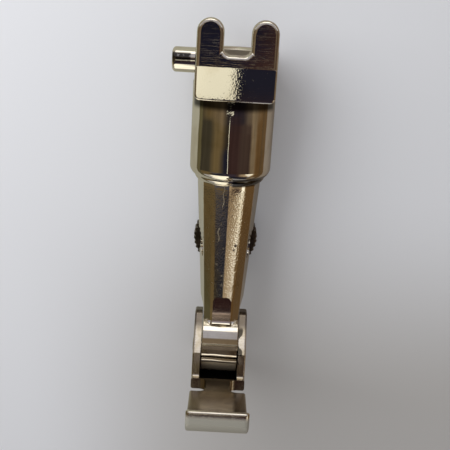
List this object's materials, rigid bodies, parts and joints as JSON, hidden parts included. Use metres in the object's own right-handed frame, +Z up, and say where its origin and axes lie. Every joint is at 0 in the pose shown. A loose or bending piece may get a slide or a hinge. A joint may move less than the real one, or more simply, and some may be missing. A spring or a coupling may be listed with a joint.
{
  "type": "sewing machine presser foot",
  "caption": "Narrow zipper presser foot: forked socket with a clamp pin at its side, faceted arm with a knurled screw behind it, and a hinged sole notched beside the needle.",
  "frame": {"origin": "centre of the socket's rim", "axes": "+Z up along the presser bar, -Y towards the toe, -X towards the clamp pin"},
  "size_m": [0.0119, 0.0271, 0.0457],
  "materials": {
    "shank": "pebbled nickel plate",
    "clamp_pin": "polished nickel plate",
    "thumb_screw": "knurled, dulled nickel plate",
    "sole": "satin, worn nickel plate",
    "hinge_pin": "satin steel"
  },
  "bodies": {
    "shank": {"shank": "shank", "clamp_pin": "clamp_pin"},
    "thumb_screw": {"thumb_screw": "thumb_screw"},
    "sole": {"sole": "sole", "hinge_pin": "hinge_pin"}
  },
  "joints": [
    {"name": "sole_tilt", "type": "hinge", "parent": "shank", "child": "sole", "pos_m": [0, -0.0003, -0.0371], "axis": [1, 0, 0], "range_deg": [-15, 20]},
    {"name": "screw_turn", "type": "hinge", "parent": "shank", "child": "thumb_screw", "pos_m": [0, 0, -0.0238], "axis": [0, 1, 0], "range_deg": [0, 720]}
  ]
}
